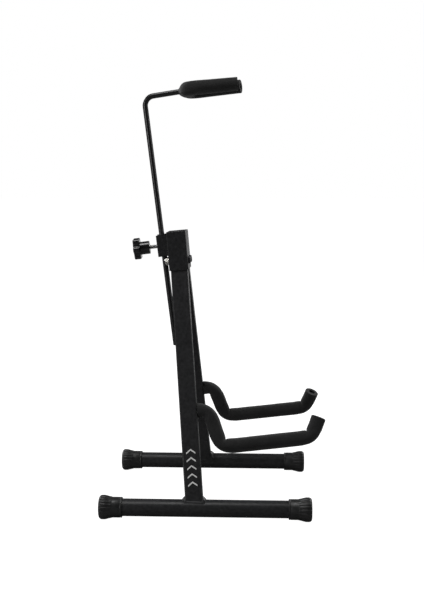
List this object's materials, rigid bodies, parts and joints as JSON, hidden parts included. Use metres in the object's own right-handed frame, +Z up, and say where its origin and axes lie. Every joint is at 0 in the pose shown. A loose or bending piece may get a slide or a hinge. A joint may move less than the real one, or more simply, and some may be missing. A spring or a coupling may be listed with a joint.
{
  "type": "saxophone stand",
  "caption": "Folding A-frame floor stand for an instrument, with padded cradle arms and a padded yoke on a height-adjustable rod.",
  "frame": {"origin": "on the floor, under the middle of the stand's bounding box", "axes": "+Z up, +X towards the instrument, +Y to the stand's left"},
  "size_m": [0.3236, 0.2946, 0.6318],
  "materials": {
    "black_paint": "satin",
    "black_rod_paint": "satin",
    "black_steel": "satin",
    "zinc": "satin",
    "knob_plastic": "gloss",
    "black_nylon": "matte",
    "cap_rubber": "satin",
    "foam": "matte"
  },
  "bodies": {
    "head": {"hinge_head": "black_paint", "pivot_bolts": "black_steel", "pivot_washers": "zinc", "pivot_nuts": "zinc", "rod_clamp_block": "black_paint", "clamp_block_welds": "black_paint", "threaded_insert": "zinc"},
    "rod_bush": {"guide_bush": "black_nylon"},
    "mast": {"support_rod": "black_rod_paint", "yoke_fork": "black_paint", "yoke_sleeve": "foam"},
    "pressure_pad": {"pressure_pad": "zinc"},
    "knob": {"clamp_knob": "knob_plastic", "clamp_screw": "zinc"},
    "left_leg": {"left_leg_tube": "black_paint", "left_pivot_sleeve": "zinc", "left_foot_tube": "black_paint", "left_foot_weld": "black_paint", "left_front_foot_cap": "cap_rubber", "left_rear_foot_cap": "cap_rubber", "left_cradle_arm": "black_paint", "left_arm_weld": "black_paint", "left_arm_sleeve": "foam"},
    "right_leg": {"right_leg_tube": "black_paint", "right_pivot_sleeve": "zinc", "right_foot_tube": "black_paint", "right_foot_weld": "black_paint", "right_front_foot_cap": "cap_rubber", "right_rear_foot_cap": "cap_rubber", "right_cradle_arm": "black_paint", "right_arm_weld": "black_paint", "right_arm_sleeve": "foam"}
  },
  "joints": [
    {"name": "left_leg_fold", "type": "hinge", "parent": "head", "child": "left_leg", "pos_m": [-0.055, 0.014, 0.3622], "axis": [-0.9962, 0, -0.0872], "range_deg": [0, 17]},
    {"name": "right_leg_fold", "type": "hinge", "parent": "head", "child": "right_leg", "pos_m": [-0.055, -0.014, 0.3622], "axis": [0.9962, 0, 0.0872], "range_deg": [0, 17]},
    {"name": "mast_swivel", "type": "hinge", "parent": "head", "child": "rod_bush", "pos_m": [-0.08, 0, 0.3839], "axis": [-0.1227, 0, 0.9924], "range_deg": [-180, 180]},
    {"name": "mast_height", "type": "slide", "parent": "rod_bush", "child": "mast", "axis": [-0.1227, 0, 0.9924], "range_m": [-0.18, 0.11]},
    {"name": "pad_travel", "type": "slide", "parent": "head", "child": "pressure_pad", "axis": [-0.9924, 0, -0.1227], "range_m": [0, 0.00299]},
    {"name": "knob_turn", "type": "hinge", "parent": "pressure_pad", "child": "knob", "pos_m": [-0.08, 0, 0.3839], "axis": [-0.9924, 0, -0.1227], "range_deg": [0, 1080]}
  ],
  "couplings": [
    {"joint": "knob_turn", "follows": "pad_travel", "rad_per_m": 6283.2}
  ]
}
